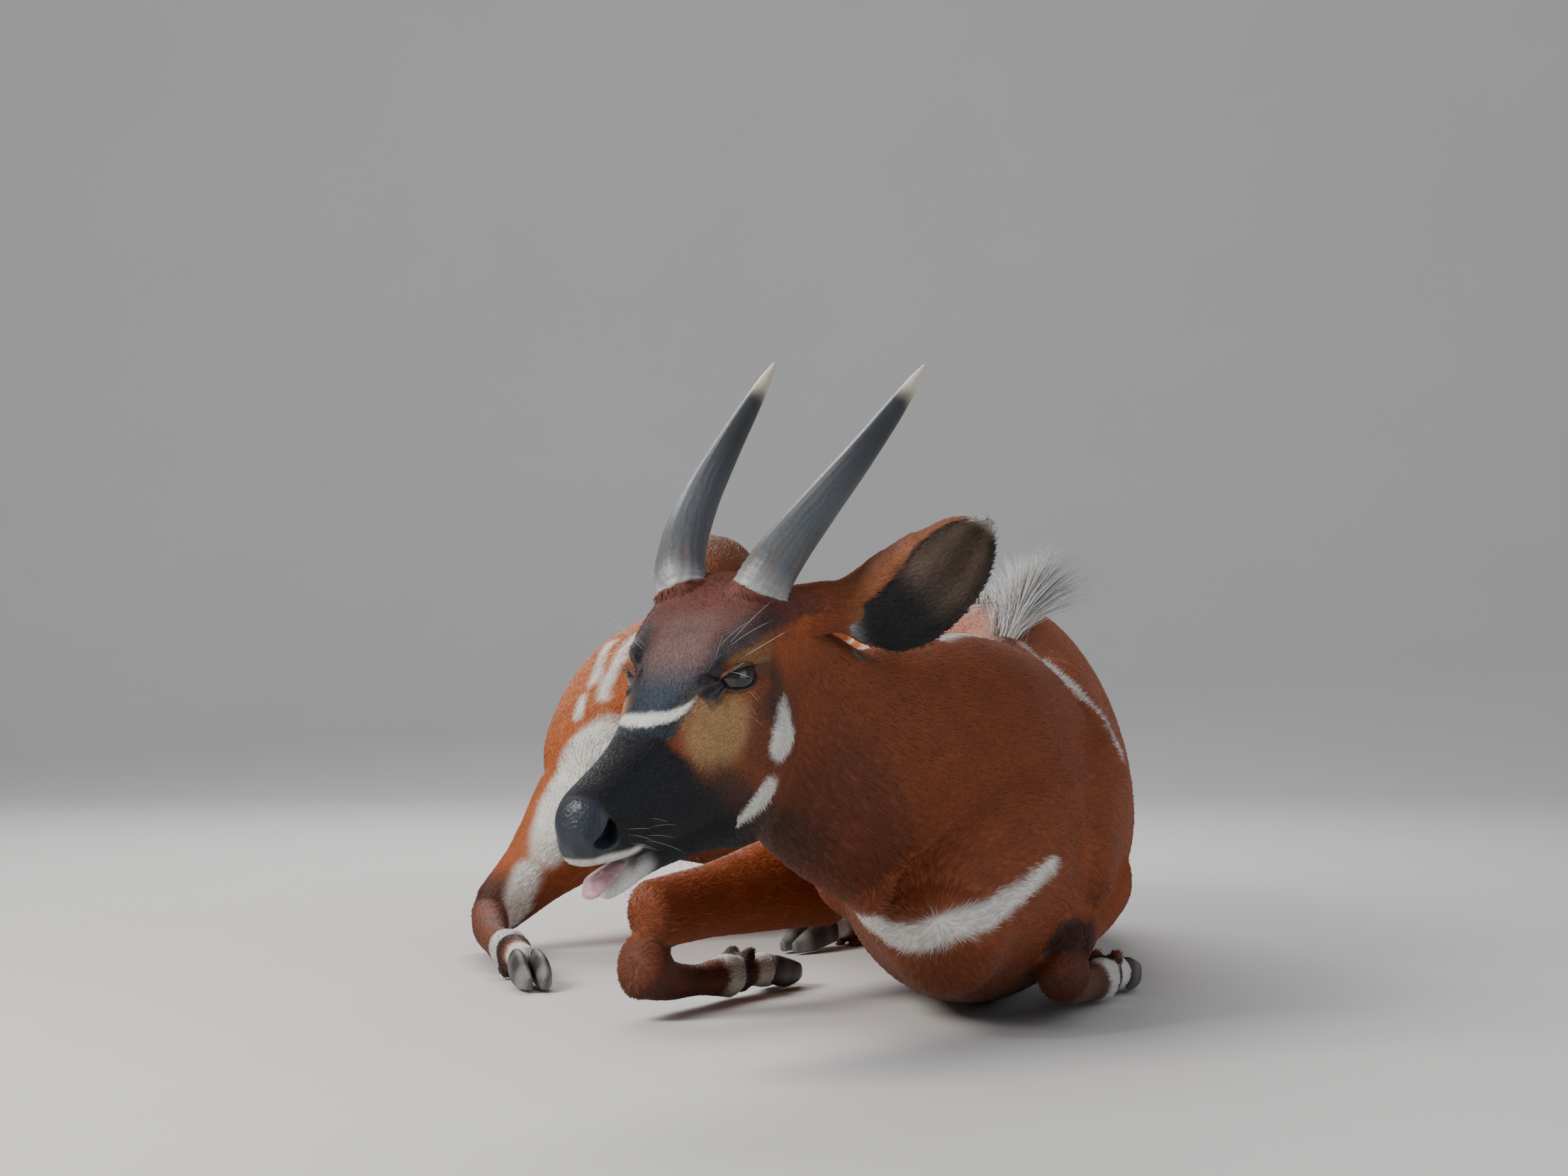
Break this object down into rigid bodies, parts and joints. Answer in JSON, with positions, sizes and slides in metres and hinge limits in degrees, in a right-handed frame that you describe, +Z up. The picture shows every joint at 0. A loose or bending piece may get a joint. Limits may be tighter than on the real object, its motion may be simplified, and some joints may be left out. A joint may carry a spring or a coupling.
{
  "type": "bongo antelope",
  "caption": "Life-size young bongo antelope lying with folded legs, head turned aside, with horns, broad ears, a dorsal crest and a tufted tail.",
  "frame": {"origin": "on the ground, under the middle of the bounding box", "axes": "+X to the animal's left, +Y towards its tail, +Z up; its head points towards -Y and is turned to its right"},
  "size_m": [0.7788, 1.6926, 0.6554],
  "materials": {
    "coat": "short chestnut hair with white stripes and a white and dark crest",
    "pale_coat": "short white hair on the lips and chin",
    "tongue": "moist pink",
    "eye": "dark brown and glossy",
    "horn": "smooth grey horn with ivory tips",
    "hoof": "dark hoof horn"
  },
  "bodies": {
    "root": {"head": "coat", "neck": "coat", "torso_front": "coat", "torso_middle": "coat", "torso_rear": "coat", "tail": "coat", "tail_end": "coat", "ear_left": "coat", "ear_right": "coat", "foreleg_right_forearm": "coat", "foreleg_right_cannon": "coat", "foreleg_right_pastern": "coat", "foreleg_left_forearm": "coat", "foreleg_left_cannon": "coat", "foreleg_left_pastern": "coat", "hindleg_right_thigh": "coat", "hindleg_right_shank": "coat", "hindleg_right_cannon": "coat", "hindleg_right_pastern": "coat", "hindleg_left_thigh": "coat", "hindleg_left_shank": "coat", "hindleg_left_cannon": "coat", "hindleg_left_pastern": "coat", "jaw": "pale_coat", "tongue": "tongue", "eye_left": "eye", "eye_right": "eye", "horn_left": "horn", "horn_right": "horn", "foreleg_right_hoof_outer": "hoof", "foreleg_right_hoof_inner": "hoof", "foreleg_left_hoof_outer": "hoof", "foreleg_left_hoof_inner": "hoof", "hindleg_right_hoof_outer": "hoof", "hindleg_right_hoof_inner": "hoof", "hindleg_left_hoof_outer": "hoof", "hindleg_left_hoof_inner": "hoof"}
  },
  "joints": []
}
